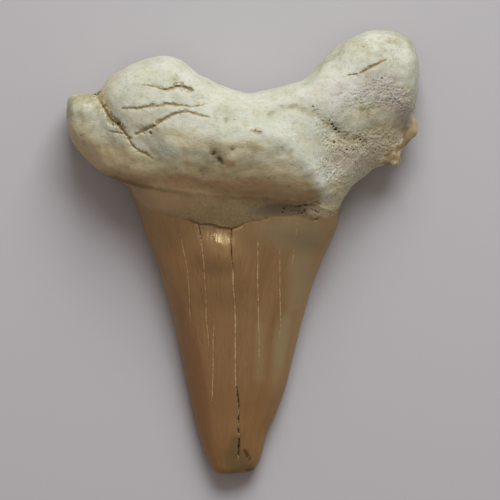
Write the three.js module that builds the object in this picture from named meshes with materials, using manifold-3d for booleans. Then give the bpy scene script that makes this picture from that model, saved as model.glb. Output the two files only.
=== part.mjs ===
// A fossil shark tooth lying on its flat lip side (the labial face).
// Millimetres. +Z is up, +Y runs from the crown's tip to the root, and +X is to the right of someone
// who looks down on the tooth with its root away from them. The origin is under the middle of the
// tooth, on the surface that it lies on.
//
// Root, neck and crown grew as one piece, so they are one solid: a root bent into two lobes, a crown
// of D-shaped section, and the stub of a broken side cusp, joined and then trimmed by the surface.

import * as THREE from "three";
import { mergeVertices } from "three/addons/utils/BufferGeometryUtils.js";
import Module from "manifold-3d";

const wasm = await Module();
wasm.setup();

// Driving dimensions
const TOOTH_LENGTH = 50;        // crown tip to the top of the taller lobe
const HALF_LENGTH = TOOTH_LENGTH / 2;
const ROOT_WIDTH = 39.6;        // across both lobes
const HALF_WIDTH = ROOT_WIDTH / 2;
const ROOT_THICKNESS = 14;      // at the middle of the torus, the swelling on the upper face
const CROWN_THICKNESS = 9.4;    // under the root's lip, where the neck band starts
const WORN_DEPTH = 0.3;         // how far the lip side is worn flat where it touches the surface

const CROWN_SIDES = 28;
const CROWN_STEPS = 34;
const CROWN_UPPER_FULLNESS = 2.4;   // 2 is an ellipse, more is squarer
const CROWN_LOWER_FULLNESS = 2.4;
const CROWN_EDGE_SHARE = 0.13;      // how high the cutting edges are in the crown's thickness
const ROOT_SIDES = 30;
const ROOT_STEPS = 48;
const ROOT_UPPER_FULLNESS = 2.3;
const ROOT_LOWER_FULLNESS = 2.6;
const ROOT_EDGE_SHARE = 0.26;

const STUB_BOTTOM = 2.8;        // the broken side cusp's lower face
const STUB_THICKNESS = 3.2;
const STUB_EDGE = 0.4;          // how far its edges are worn round
const CUTTER_SIZE = 80;         // the half space above the surface, as a block

// The crown from inside the root to the worn tip:
// [y, left edge x, right edge x, top height, underside height]
const CROWN_STATIONS = [
  [10.5, -12.4, 11.0, 8.6, 3.6],
  [8.4, -13.2, 11.6, CROWN_THICKNESS, 2.2],
  [6.6, -12.7, 11.2, CROWN_THICKNESS, 0.8],
  [4.4, -11.8, 11.1, 9.2, 0.0],
  [2.4, -11.1, 10.6, 8.9, -0.2],
  [0, -10.1, 9.4, 8.3, -WORN_DEPTH],
  [-3.6, -9.0, 8.0, 7.4, -WORN_DEPTH],
  [-7.6, -7.9, 6.8, 6.5, -WORN_DEPTH],
  [-11.2, -7.1, 5.9, 5.8, -WORN_DEPTH],
  [-15.2, -6.3, 4.9, 5.1, -WORN_DEPTH],
  [-18.2, -5.7, 3.9, 4.5, -0.1],
  [-20.4, -5.0, 2.8, 4.2, 0.1],
  [-22.4, -4.4, 2.3, 3.9, 0.3],
  [-23.7, -3.8, 2.0, 3.6, 0.5],
  [-24.6, -3.2, 1.3, 3.3, 0.7],
  [-HALF_LENGTH, -2.2, 0.2, 2.8, 1.1],
];

// The root from the left flange to the right lobe's end:
// [upper rim x, y, lower rim x, y, top height, underside height]
const ROOT_STATIONS = [
  [-HALF_WIDTH, 17.0, -HALF_WIDTH, 14.4, 4.8, 2.2],
  [-19.4, 17.7, -19.2, 12.3, 7.2, 1.0],
  [-17.6, 17.9, -17.6, 10.4, 8.8, 0.4],
  [-16.3, 17.8, -15.6, 8.8, 10.0, 0.1],
  [-15.0, 19.8, -13.8, 7.8, 11.0, -WORN_DEPTH],
  [-13.1, 21.0, -12.3, 7.1, 11.7, -WORN_DEPTH],
  [-11.0, 21.8, -10.3, 6.9, 12.2, -0.2],
  [-8.8, 22.2, -8.2, 6.6, 12.7, 0.0],
  [-7.0, 21.7, -6.0, 6.3, 13.1, 0.3],
  [-5.0, 20.1, -3.9, 6.1, 13.4, 0.6],
  [-2.6, 18.9, -1.6, 5.9, 13.8, 0.8],
  [0.7, 17.8, 1.4, 5.8, ROOT_THICKNESS, 0.9],
  [4.0, 18.6, 4.6, 5.6, 13.8, 0.8],
  [7.1, 19.5, 8.0, 5.2, 12.6, 0.5],
  [9.1, 21.9, 10.9, 5.4, 11.2, 0.2],
  [11.5, 24.0, 12.7, 7.7, 10.6, -0.1],
  [14.0, 24.9, 14.5, 9.2, 10.2, -WORN_DEPTH],
  [16.6, HALF_LENGTH, 16.8, 10.4, 9.6, -WORN_DEPTH],
  [18.8, 24.2, 18.2, 12.6, 8.2, 0.2],
  [19.6, 22.7, 19.1, 15.0, 6.8, 1.0],
  [HALF_WIDTH, 21.2, HALF_WIDTH - 0.1, 17.6, 5.0, 2.2],
];

// Outline of the broken side cusp below the right lobe, seen from above, anticlockwise
const STUB_OUTLINE = [
  [15.2, 12.4], [15.2, 9.8], [17.7, 9.6], [17.8, 11.2],
  [18.9, 12.7], [HALF_WIDTH, 13.1], [19.6, 15.0], [17.0, 15.8],
];

// One row of station values at a place from 0 to 1, on a smooth curve through all the rows
function rowAt(rows, place) {
  const scaled = place * (rows.length - 1);
  const start = Math.min(Math.floor(scaled), rows.length - 2);
  const t = scaled - start;
  const row = (index) => rows[THREE.MathUtils.clamp(index, 0, rows.length - 1)];
  return rows[start].map((_, column) => {
    const [before, from, to, after] = [-1, 0, 1, 2].map((step) => row(start + step)[column]);
    const linear = (to - before) / 2;
    const quadratic = before - 2.5 * from + 2 * to - after / 2;
    const cubic = (after - before) / 2 + 1.5 * (from - to);
    return from + t * (linear + t * (quadratic + t * cubic));
  });
}

// A point of a full ellipse-like section: the exponent squares the round corners
function full(value, fullness) {
  return Math.sign(value) * Math.abs(value) ** (2 / fullness);
}

// A closed cylinder of many steps, with every point moved by place(along, across, up)
function loft(sides, steps, place) {
  const form = new THREE.CylinderGeometry(1, 1, 1, sides, steps);
  form.deleteAttribute("normal");
  form.deleteAttribute("uv");
  const geometry = mergeVertices(form);
  const position = geometry.attributes.position;
  for (let index = 0; index < position.count; index += 1) {
    const along = position.getY(index) + 0.5;
    const point = place(along, position.getX(index), position.getZ(index));
    position.setXYZ(index, ...point);
  }
  return geometry;
}

function crownGeometry() {
  return loft(CROWN_SIDES, CROWN_STEPS, (along, across, up) => {
    const [y, left, right, top, bottom] = rowAt(CROWN_STATIONS, 1 - along);
    const edge = THREE.MathUtils.lerp(bottom, top, CROWN_EDGE_SHARE);
    const fullness = up > 0 ? CROWN_UPPER_FULLNESS : CROWN_LOWER_FULLNESS;
    const x = (left + right) / 2 + (full(across, fullness) * (right - left)) / 2;
    const z = edge + full(up, fullness) * (up > 0 ? top - edge : edge - bottom);
    return [x, y, z];
  });
}

function rootGeometry() {
  return loft(ROOT_SIDES, ROOT_STEPS, (along, across, up) => {
    const [upperX, upperY, lowerX, lowerY, top, bottom] = rowAt(ROOT_STATIONS, along);
    const rim = THREE.MathUtils.lerp(bottom, top, ROOT_EDGE_SHARE);
    const fullness = up > 0 ? ROOT_UPPER_FULLNESS : ROOT_LOWER_FULLNESS;
    const share = (1 + full(across, fullness)) / 2;
    const x = THREE.MathUtils.lerp(upperX, lowerX, share);
    const y = THREE.MathUtils.lerp(upperY, lowerY, share);
    const z = rim + full(up, fullness) * (up > 0 ? top - rim : rim - bottom);
    return [x, y, z];
  });
}

function stubGeometry() {
  const outline = new THREE.Shape(STUB_OUTLINE.map(([x, y]) => new THREE.Vector2(x, y)));
  const geometry = new THREE.ExtrudeGeometry(outline, {
    depth: STUB_THICKNESS - 2 * STUB_EDGE,
    bevelThickness: STUB_EDGE,
    bevelSize: STUB_EDGE,
    bevelOffset: -STUB_EDGE,
    bevelSegments: 2,
  });
  return geometry.translate(0, 0, STUB_BOTTOM + STUB_EDGE);
}

function aboveSurfaceGeometry() {
  const block = new THREE.BoxGeometry(CUTTER_SIZE, CUTTER_SIZE, CUTTER_SIZE);
  return block.translate(0, 0, CUTTER_SIZE / 2);
}

function toSolid(geometry) {
  geometry.deleteAttribute("normal");
  geometry.deleteAttribute("uv");
  const merged = mergeVertices(geometry);
  const mesh = new wasm.Mesh({
    numProp: 3,
    vertProperties: new Float32Array(merged.attributes.position.array),
    triVerts: new Uint32Array(merged.index.array),
  });
  return new wasm.Manifold(mesh);
}

function toGeometry(solid) {
  const mesh = solid.getMesh();
  const geometry = new THREE.BufferGeometry();
  geometry.setAttribute("position", new THREE.BufferAttribute(mesh.vertProperties, 3));
  geometry.setIndex(new THREE.BufferAttribute(mesh.triVerts, 1));
  geometry.computeVertexNormals();
  return geometry;
}

const grownTooth = toSolid(rootGeometry())
  .add(toSolid(crownGeometry()))
  .add(toSolid(stubGeometry()));
const restingTooth = grownTooth.intersect(toSolid(aboveSurfaceGeometry()));

const fossil = new THREE.MeshStandardMaterial({ color: 0xb9b79f, roughness: 0.7, metalness: 0 });
const tooth = new THREE.Mesh(toGeometry(restingTooth), fossil);
tooth.name = "tooth";

const model = new THREE.Group();
model.add(tooth);

export default model;
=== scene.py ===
# %% [markdown]
# # A fossil shark tooth
# This lesson builds one fossil tooth: a thick pale root, a dull neck band and a brown enamel crown.
# It lies on its flat side on a plain floor. Everything is one mesh, because the real one is one
# piece, and it is modelled as a sculptor would: blocked out in clay, smoothed, then worked finer
# and finer, with the cracks, pits and stains last.

import math

import bpy
import numpy as np
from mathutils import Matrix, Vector, noise


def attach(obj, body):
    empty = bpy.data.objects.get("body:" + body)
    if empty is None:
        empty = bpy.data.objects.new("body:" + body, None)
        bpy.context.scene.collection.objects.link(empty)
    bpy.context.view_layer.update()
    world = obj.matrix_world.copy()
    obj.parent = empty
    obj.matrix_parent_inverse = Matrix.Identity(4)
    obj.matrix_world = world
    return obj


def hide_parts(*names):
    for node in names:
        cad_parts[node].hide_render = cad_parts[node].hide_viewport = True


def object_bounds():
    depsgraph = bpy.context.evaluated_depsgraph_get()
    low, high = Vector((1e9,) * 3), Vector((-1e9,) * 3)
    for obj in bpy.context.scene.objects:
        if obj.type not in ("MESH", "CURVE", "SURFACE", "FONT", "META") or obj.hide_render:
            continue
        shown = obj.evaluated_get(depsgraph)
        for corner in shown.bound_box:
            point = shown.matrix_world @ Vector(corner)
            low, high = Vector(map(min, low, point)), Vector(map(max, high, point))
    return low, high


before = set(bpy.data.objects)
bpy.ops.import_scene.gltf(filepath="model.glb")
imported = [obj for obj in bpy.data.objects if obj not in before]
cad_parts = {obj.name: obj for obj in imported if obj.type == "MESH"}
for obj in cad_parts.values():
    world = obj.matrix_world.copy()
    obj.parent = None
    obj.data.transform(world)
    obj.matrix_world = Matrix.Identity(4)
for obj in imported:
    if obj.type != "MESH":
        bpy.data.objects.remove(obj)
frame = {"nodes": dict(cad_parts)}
cad_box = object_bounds()
MM = 0.001  # the scene is in metres, and the numbers below are in millimetres
low, high = (np.array(corner) / MM for corner in cad_box)
print(f"packed nodes: {', '.join(frame['nodes'])}")
print(f"CAD box: {np.round(low, 2)} to {np.round(high, 2)} mm")

# %% [markdown]
# ## Camera
# The tooth lies flat and is looked at from straight above, so its outline is not foreshortened.
# The camera stands well back with a long lens, because a short lens close by would swell the
# thick root.

# %% Camera
FRAMED_WIDTH = 56.3  # millimetres across the view, at the framed height
FRAMED_HEIGHT = 4.5  # above the floor, a third of the way up the tooth
CAMERA_DISTANCE = 2000.0
NEAREST_SEEN = 10.0
SENSOR = 36.0
VIEW_CENTRE = (0.84, 0.23)

camera_data = bpy.data.cameras.new("camera")
camera_data.sensor_width = SENSOR
camera_data.lens = SENSOR * CAMERA_DISTANCE / FRAMED_WIDTH
camera_data.clip_start = NEAREST_SEEN * MM
camera = bpy.data.objects.new("camera", camera_data)
camera.location = Vector((*VIEW_CENTRE, FRAMED_HEIGHT + CAMERA_DISTANCE)) * MM
bpy.context.scene.collection.objects.link(camera)
bpy.context.scene.camera = camera
print(f"camera lens {camera_data.lens:.0f} mm")

# %% [markdown]
# ## Colours and nodes
# Paint colours are written as sRGB hex values, the way a colour picker shows them, and Blender
# computes with linear light. One function converts them, and one other adds a node with its
# settings and links, so that a material reads as a list of what it is made of.

# %% Colour and node helpers
def colour(text):
    """A linear colour with alpha from an sRGB hex value such as D8D4BE."""
    values = [int(text[start:start + 2], 16) / 255 for start in (0, 2, 4)]
    linear = [v / 12.92 if v <= 0.04045 else ((v + 0.055) / 1.055) ** 2.4 for v in values]
    return (*linear, 1.0)


def add_node(material, kind, links=None, **settings):
    """Adds a node. Settings set its properties, and links feed its inputs from sockets or values."""
    node = material.node_tree.nodes.new(kind)
    for key, value in settings.items():
        setattr(node, key, value)
    for key, value in (links or {}).items():
        if isinstance(value, bpy.types.NodeSocket):
            material.node_tree.links.new(value, node.inputs[key])
        else:
            node.inputs[key].default_value = value
    return node


def new_material(name):
    """An empty node material and its Principled shader."""
    material = bpy.data.materials.new(name)
    material.use_nodes = True
    return material, material.node_tree.nodes["Principled BSDF"]


print("the mid grey 808080 in linear light:", np.round(colour("808080")[:3], 3))

# %% [markdown]
# ## Light and floor
# One large soft window stands beyond the root and a little to the right, so the relief throws
# soft shadows towards the crown. A dim even room light fills them. The floor is a plain matt card.

# %% Window and room light
WINDOW_PLACE = (65, 336, 300)
WINDOW_SIZE = 280
WINDOW_POWER = 1.8
FILL_STRENGTH = 0.30

window_data = bpy.data.lights.new("window", "AREA")
window_data.energy = WINDOW_POWER
window_data.size = WINDOW_SIZE * MM
window_data.color = colour("FAFBFF")[:3]
window = bpy.data.objects.new("window", window_data)
window.location = Vector(WINDOW_PLACE) * MM
window.rotation_euler = (-window.location).to_track_quat("-Z", "Y").to_euler()
bpy.context.scene.collection.objects.link(window)

world = bpy.data.worlds.new("room")
world.use_nodes = True
world.node_tree.nodes["Background"].inputs["Color"].default_value = colour("EEE1DB")
world.node_tree.nodes["Background"].inputs["Strength"].default_value = FILL_STRENGTH
bpy.context.scene.world = world
bpy.context.scene.view_settings.view_transform = "Standard"
print(f"window {WINDOW_SIZE} mm wide, {window.location.length / MM:.0f} mm away")

# %% Floor
FLOOR_SIZE = 1500

bpy.ops.object.select_all(action="DESELECT")
bpy.ops.mesh.primitive_plane_add(size=FLOOR_SIZE * MM)
floor = bpy.context.object
floor.name = "floor"
matt_card, card_shader = new_material("matt_card")
card_shader.inputs["Base Color"].default_value = colour("C5C4C6")
card_shader.inputs["Roughness"].default_value = 0.75
floor.data.materials.append(matt_card)
print(f"floor {FLOOR_SIZE} mm wide")

# %% [markdown]
# ## Working on many points at once
# A sculptor's brush moves thousands of points. Here numpy reads all points of a mesh as one
# table, moves them together and writes them back.

# %% Mesh helpers
def points_of(piece):
    """All vertex places of a piece, in millimetres."""
    flat = np.empty(len(piece.data.vertices) * 3)
    piece.data.vertices.foreach_get("co", flat)
    return flat.reshape(-1, 3) / MM


def set_points(piece, points):
    """Moves all vertices of a piece to places in millimetres."""
    piece.data.vertices.foreach_set("co", (points * MM).astype(np.float32).ravel())
    piece.data.update()


def smooth_step(low_value, high_value, value):
    """0 below the low value, 1 above the high one, and a soft S in between."""
    share = np.clip((value - low_value) / (high_value - low_value), 0, 1)
    return share * share * (3 - 2 * share)


def facing_up(piece, low_value=0.0, high_value=0.4):
    """1 on the upper surface, 0 on the underside, from the upward part of each vertex normal."""
    flat = np.empty(len(piece.data.vertices) * 3, np.float32)
    piece.data.vertex_normals.foreach_get("vector", flat)
    return smooth_step(low_value, high_value, flat.reshape(-1, 3)[:, 2])


def make_active(piece):
    bpy.ops.object.select_all(action="DESELECT")
    piece.select_set(True)
    bpy.context.view_layer.objects.active = piece


# %% [markdown]
# ## Block out the root and the crown
# Both are long rounded bodies whose cross-section changes all the way. One could push points
# about by hand, or draw the section once as a circle and extrude it ring by ring, turning and
# resizing each new ring to the width and height that the body has there. The second way keeps
# the outline exact, and each ring is one line in a table.

# %% Ring helpers
def ring_frame(row, rim_share):
    """Centre, size and turn of a ring from (x, y, x, y, top, underside): its two edges seen from above."""
    first, second = Vector(row[0:2]), Vector(row[2:4])
    top, underside = row[4:6]
    middle = (first + second) / 2
    across = second - first
    centre = Vector((*middle, underside + rim_share * (top - underside)))
    size = Vector((across.length / 2, 1, top - underside))
    return centre, size, math.atan2(across.y, across.x)


def extrude_rings(name, rows, section, rim_share):
    """A closed form through rings: a circle is drawn, then extruded, turned and resized ring by ring."""
    bpy.ops.object.select_all(action="DESELECT")
    bpy.ops.mesh.primitive_circle_add(vertices=len(section), radius=MM, fill_type="NGON")
    piece = bpy.context.object
    piece.name = name
    centre, size, turn = ring_frame(rows[0], rim_share)
    set_points(piece, np.array([[across * size.x, 0, up * size.z] for across, up in section]))
    bpy.ops.object.mode_set(mode="EDIT")
    bpy.ops.mesh.select_all(action="SELECT")
    bpy.ops.transform.rotate(value=-turn, orient_axis="Z", center_override=(0, 0, 0))
    bpy.ops.transform.translate(value=centre * MM)
    for row in rows[1:]:
        old_centre, old_size, old_turn = centre, size, turn
        centre, size, turn = ring_frame(row, rim_share)
        bpy.ops.mesh.extrude_region_move()
        here = old_centre * MM
        growth = (size.x / old_size.x, 1, size.z / old_size.z)
        bpy.ops.transform.rotate(value=old_turn, orient_axis="Z", center_override=here)
        bpy.ops.transform.resize(value=growth, center_override=here)
        bpy.ops.transform.rotate(value=-turn, orient_axis="Z", center_override=here)
        bpy.ops.transform.translate(value=(centre - old_centre) * MM)
    bpy.ops.mesh.select_all(action="SELECT")
    bpy.ops.mesh.normals_make_consistent(inside=False)
    bpy.ops.object.mode_set(mode="OBJECT")
    print(f"{name}: {len(rows)} rings, {len(piece.data.vertices)} points")
    return piece


def section_points(count, rim_share, sharpness):
    """A closed section of height 1. Sharpness above 1 pinches its two edges, and below 1 fills them."""
    points = []
    for step in range(count):
        angle = 2 * math.pi * step / count
        up = math.copysign(abs(math.sin(angle)) ** sharpness, math.sin(angle))
        points.append((math.cos(angle), up * (1 - rim_share) if up > 0 else up * rim_share))
    return points


# %% Root
ROOT_RINGS = [
    # upper edge x, y, lower edge x, y, top, underside
    (-19.8, 17.0, -19.8, 14.4, 4.8, 2.2),
    (-19.4, 17.75, -19.2, 12.3, 7.2, 1.0),
    (-17.6, 17.9, -17.6, 10.4, 8.8, 0.4),
    (-16.3, 17.8, -15.6, 8.8, 10.0, 0.1),
    (-15.0, 19.8, -13.8, 7.8, 11.0, -0.3),
    (-13.1, 21.0, -12.3, 7.1, 11.7, -0.3),
    (-11.0, 21.8, -10.3, 6.9, 12.2, -0.2),
    (-8.8, 22.2, -8.2, 6.6, 12.7, 0.0),
    (-7.0, 21.7, -6.0, 6.3, 13.1, 0.3),
    (-5.0, 20.1, -3.9, 6.1, 13.4, 0.6),
    (-2.6, 18.9, -1.6, 5.9, 13.8, 0.8),
    (0.7, 17.8, 1.4, 5.8, 14.0, 0.9),
    (4.0, 18.6, 4.6, 5.6, 13.8, 0.8),
    (7.1, 19.5, 8.0, 5.2, 12.6, 0.5),
    (9.1, 21.9, 10.9, 5.4, 11.2, 0.2),
    (11.5, 24.0, 12.7, 7.7, 10.6, -0.1),
    (14.0, 24.9, 14.5, 9.2, 10.2, -0.3),
    (16.6, 25.1, 16.8, 10.4, 9.6, -0.3),
    (18.8, 24.2, 18.2, 12.6, 8.2, 0.2),
    (19.6, 22.7, 19.1, 15.0, 6.8, 1.0),
    (19.85, 21.2, 19.7, 17.6, 5.0, 2.2),
]
ROOT_RIM_SHARE = 0.26  # how far up the root its widest line runs
root_section = section_points(count=24, rim_share=ROOT_RIM_SHARE, sharpness=0.9)
root = extrude_rings("root_clay", ROOT_RINGS, root_section, ROOT_RIM_SHARE)

# %% Crown
CROWN_RINGS = [
    # left edge x, y, right edge x, y, top, underside
    (-13.2, 8.4, 11.6, 8.4, 9.4, 2.2),
    (-12.8, 6.8, 11.2, 6.6, 9.4, 0.8),
    (-11.8, 4.4, 11.1, 4.4, 9.25, 0.0),
    (-11.15, 2.4, 10.6, 2.4, 8.9, -0.2),
    (-10.1, 0.0, 9.4, 0.0, 8.3, -0.3),
    (-8.95, -3.6, 7.95, -3.6, 7.4, -0.3),
    (-7.85, -7.6, 6.8, -7.6, 6.5, -0.3),
    (-7.15, -11.2, 5.9, -11.2, 5.8, -0.3),
    (-6.3, -15.2, 4.95, -15.2, 5.1, -0.3),
    (-5.65, -18.2, 3.85, -18.2, 4.5, -0.1),
    (-5.05, -20.4, 2.8, -20.4, 4.2, 0.1),
    (-4.4, -22.4, 2.35, -22.4, 3.9, 0.3),
    (-3.8, -23.7, 2.0, -23.6, 3.6, 0.5),
    (-3.3, -24.8, 1.5, -24.4, 3.4, 0.7),
    (-2.9, -25.1, 1.2, -24.8, 3.2, 0.9),
]
CROWN_RIM_SHARE = 0.13  # how far up the crown its cutting edges run
crown_section = section_points(count=28, rim_share=CROWN_RIM_SHARE, sharpness=0.65)
crown = extrude_rings("crown_clay", CROWN_RINGS, crown_section, CROWN_RIM_SHARE)

# %% [markdown]
# ## The stub of the broken side cusp
# A small side point once stood beside the crown at the root's right end. It is broken off, and
# a ragged little stub is left. It starts as a flat outline that is extruded upwards.

# %% Stub
STUB_OUTLINE = [
    (15.2, 12.4), (15.2, 9.8), (16.3, 9.9), (17.7, 9.6), (17.8, 11.2), (18.3, 12.0),
    (18.9, 12.7), (19.8, 13.1), (19.8, 13.6), (19.5, 14.2), (19.6, 15.0), (17.0, 15.8),
]
STUB_BOTTOM = 2.8
STUB_HEIGHT = 3.2

bpy.ops.object.select_all(action="DESELECT")
bpy.ops.mesh.primitive_circle_add(vertices=len(STUB_OUTLINE), radius=MM, fill_type="NGON")
stub = bpy.context.object
stub.name = "stub_clay"
set_points(stub, np.array([(x, y, STUB_BOTTOM) for x, y in STUB_OUTLINE]))
bpy.ops.object.mode_set(mode="EDIT")
bpy.ops.mesh.select_all(action="SELECT")
bpy.ops.mesh.extrude_region_move(TRANSFORM_OT_translate={"value": (0, 0, STUB_HEIGHT * MM)})
bpy.ops.mesh.select_all(action="SELECT")
bpy.ops.mesh.normals_make_consistent(inside=False)
bpy.ops.object.mode_set(mode="OBJECT")
print(f"stub_clay: {len(stub.data.vertices)} points")

# %% [markdown]
# ## Join the clay
# The three forms are pushed into each other like lumps of clay. A voxel remesh then gives them
# one closed skin with an even net, and a smoothing pass melts the joins and the ring edges.

# %% Join and remesh
CLAY_VOXEL = 0.32


def apply_modifier(piece, kind, **settings):
    """Adds a modifier with its settings and applies it."""
    make_active(piece)
    modifier = piece.modifiers.new(kind.lower(), kind)
    for key, value in settings.items():
        setattr(modifier, key, value)
    bpy.ops.object.modifier_apply(modifier=modifier.name)


def even_net(piece, voxel, rounds):
    """Rebuilds the surface as an even net of small quads, then smooths the net's steps away."""
    apply_modifier(piece, "REMESH", mode="VOXEL", voxel_size=voxel * MM)
    apply_modifier(piece, "SMOOTH", iterations=rounds, factor=0.5)
    print(f"{piece.name}: {len(piece.data.vertices)} points, {voxel} mm apart")


make_active(root)
crown.select_set(True)
stub.select_set(True)
bpy.ops.object.join()
tooth = root
tooth.name = "fossil_tooth"
even_net(tooth, CLAY_VOXEL, rounds=8)

# %% [markdown]
# ## Sculpt the relief
# The root is no plain sausage: its two lobes are domed, its thick middle rises to a crest and
# falls steeply to the neck, and a porous slope lies to the right. Stone carvers copy such a form
# with a pointing machine, which says how high the surface is at some marked places. The marks
# do the same here. Small features follow as brush strokes: a path seen from above, with how far
# the brush reaches and how much it lifts or presses.

# %% Brush
BORDER_FADE = (0.15, -0.05)  # millimetres beyond a border line where a stroke has gone, and is whole


def nearest(points, path):
    """Where each point lies by a path, seen from above. The path is a list of (x, y, value, ...).
    Gives the distance to it, its values there, and the side (+1 on its left)."""
    path = np.array(path, float)
    best = np.full(len(points), np.inf)
    values = np.zeros((len(points), path.shape[1] - 2))
    side = np.ones(len(points))
    for start, end in zip(path[:-1], path[1:]):
        step = end[:2] - start[:2]
        offset = points[:, :2] - start[:2]
        share = np.clip(offset @ step / (step @ step), 0, 1)
        gap = offset - share[:, None] * step
        distance = np.hypot(gap[:, 0], gap[:, 1])
        near = distance < best
        best[near] = distance[near]
        values[near] = (start[2:] + share[:, None] * (end[2:] - start[2:]))[near]
        side[near] = np.sign(step[0] * offset[:, 1] - step[1] * offset[:, 0])[near]
    return best, values, side


def signed(points, path):
    """Distance to a line, + beyond it towards the root and - towards the crown's tip."""
    distance, _, side = nearest(points, path)
    return distance * side


def sculpt(piece, strokes, border=None):
    """Lifts or lowers the upper surface along each stroke, most in its middle and not at all past its
    reach. Where a border line is given, only the surface on the crown's side of it moves."""
    for path in strokes.values():
        points = points_of(piece)
        distance, values, _ = nearest(points, path)
        reach, lift = values.T
        touch = np.clip(1 - (distance / reach) ** 2, 0, 1) ** 2
        if border:
            touch *= smooth_step(*BORDER_FADE, signed(points, border))
        points[:, 2] += lift * touch * facing_up(piece)
        set_points(piece, points)
    print(f"{len(strokes)} strokes")


# %% Height marks
HEIGHTS = {  # x: (y, height) at places across the upper side of the root
    -18.7: [(16.4, 8.5), (14.4, 8.45), (12.6, 7.7)],
    -17.4: [(16.5, 8.9), (14.5, 8.9), (12.5, 8.3), (11.2, 7.3)],
    -16.2: [(16.0, 9.2), (14.0, 9.1), (12.0, 8.6), (10.6, 7.8)],
    -15.0: [(17.8, 10.0), (15.8, 10.0), (13.5, 9.6), (11.5, 9.1), (10.0, 8.5), (9.0, 7.7)],
    -13.0: [(20.0, 9.9), (18.5, 11.0), (16.5, 11.5), (15.0, 11.4), (13.5, 11.0), (12.0, 10.6),
            (10.5, 10.1), (9.2, 9.2), (8.2, 8.0)],
    -10.4: [(20.0, 10.8), (18.0, 11.8), (15.2, 12.2), (13.6, 11.9), (12.0, 11.2), (10.0, 10.3), (9.0, 9.8),
            (8.0, 9.0)],
    -7.0: [(20.5, 10.8), (18.5, 11.9), (16.0, 12.6), (13.4, 13.0), (12.2, 12.95), (11.2, 12.55),
           (10.0, 11.95), (8.6, 10.95), (7.4, 9.6)],
    -5.2: [(19.0, 11.4), (16.0, 12.7), (13.6, 13.3), (12.4, 13.4), (11.4, 13.1)],
    -3.7: [(17.0, 12.1), (15.0, 12.9), (13.2, 13.5), (12.2, 13.4), (11.2, 12.8), (10.0, 11.9), (8.6, 10.9),
           (7.4, 9.8)],
    -1.4: [(17.0, 12.0), (15.0, 12.9), (13.2, 13.8), (12.2, 13.9), (11.2, 13.6), (10.0, 13.0), (8.6, 11.8),
           (7.4, 10.6)],
    0.8: [(16.5, 12.2), (15.0, 12.9), (13.4, 13.8), (12.2, 14.0), (11.2, 13.6), (10.0, 12.8), (8.6, 11.8),
          (7.4, 10.8)],
    4.2: [(17.0, 11.9), (15.5, 12.3), (14.0, 13.0), (12.6, 13.8), (11.4, 13.5), (10.0, 13.0), (9.0, 12.6),
          (8.0, 11.9), (7.0, 10.9)],
    6.5: [(18.0, 11.3), (16.0, 12.1), (14.0, 12.6), (11.8, 12.9), (10.0, 12.8), (9.0, 12.5), (8.0, 11.9),
          (7.0, 11.0)],
    8.6: [(20.0, 10.6), (18.0, 11.8), (16.0, 12.2), (14.0, 12.1), (12.0, 11.8), (10.0, 11.6), (8.0, 11.1),
          (6.6, 10.2), (5.4, 8.8)],
    10.4: [(20.0, 11.0), (18.0, 11.6), (16.0, 11.7), (14.6, 11.4), (13.4, 10.8), (12.0, 10.6), (10.0, 10.0),
           (8.0, 9.4), (6.4, 8.3)],
    12.1: [(22.0, 10.6), (20.0, 11.2), (18.0, 11.4), (16.0, 11.2), (14.6, 10.9), (13.4, 10.4), (12.0, 9.9),
           (10.0, 9.0), (8.6, 8.0)],
    13.8: [(23.0, 10.2), (21.0, 11.2), (19.0, 11.1), (17.0, 10.7), (15.4, 10.2), (14.0, 9.3), (12.5, 8.6),
           (11.0, 7.7), (9.8, 6.7)],
    15.6: [(23.0, 10.0), (21.0, 10.8), (19.0, 10.7), (17.0, 10.1), (15.4, 9.4), (14.0, 8.5), (12.5, 7.5),
           (11.0, 6.4)],
    17.2: [(23.0, 9.0), (21.0, 9.9), (19.0, 9.8), (17.0, 9.2), (15.5, 8.4), (14.2, 7.3), (13.0, 6.3)],
    18.7: [(22.0, 8.6), (20.0, 8.9), (18.0, 8.5), (16.0, 7.4)],
}
REACHES = (2.0, 1.2, 0.8)  # millimetres around each mark that move with it, round by round
STIFFNESS = 0.2  # what holds points that are far from every mark where they are
ABOVE_ALL = 30  # millimetres: the pointer comes down from here


def work_to_heights(piece, heights, reaches):
    """Raises or lowers the upper surface until it passes through every height mark."""
    marks = np.array([(x, y, z) for x, column in heights.items() for y, z in column])
    for reach in reaches:
        misses = []
        for x, y, z in marks:
            _, hit, _, _ = piece.ray_cast(Vector((x, y, ABOVE_ALL)) * MM, Vector((0, 0, -1)))
            misses.append(z - hit.z / MM)
        points = points_of(piece)
        total = np.zeros(len(points))
        pull = np.full(len(points), STIFFNESS)
        for (x, y, _), miss in zip(marks, misses):
            weight = np.exp(-((points[:, 0] - x) ** 2 + (points[:, 1] - y) ** 2) / (2 * reach ** 2))
            total += weight * miss
            pull += weight
        points[:, 2] += total / pull * facing_up(piece)
        set_points(piece, points)
        print(f"within {reach} mm: marks missed by {np.abs(misses).mean():.2f} mm before")


work_to_heights(tooth, HEIGHTS, REACHES)

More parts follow.
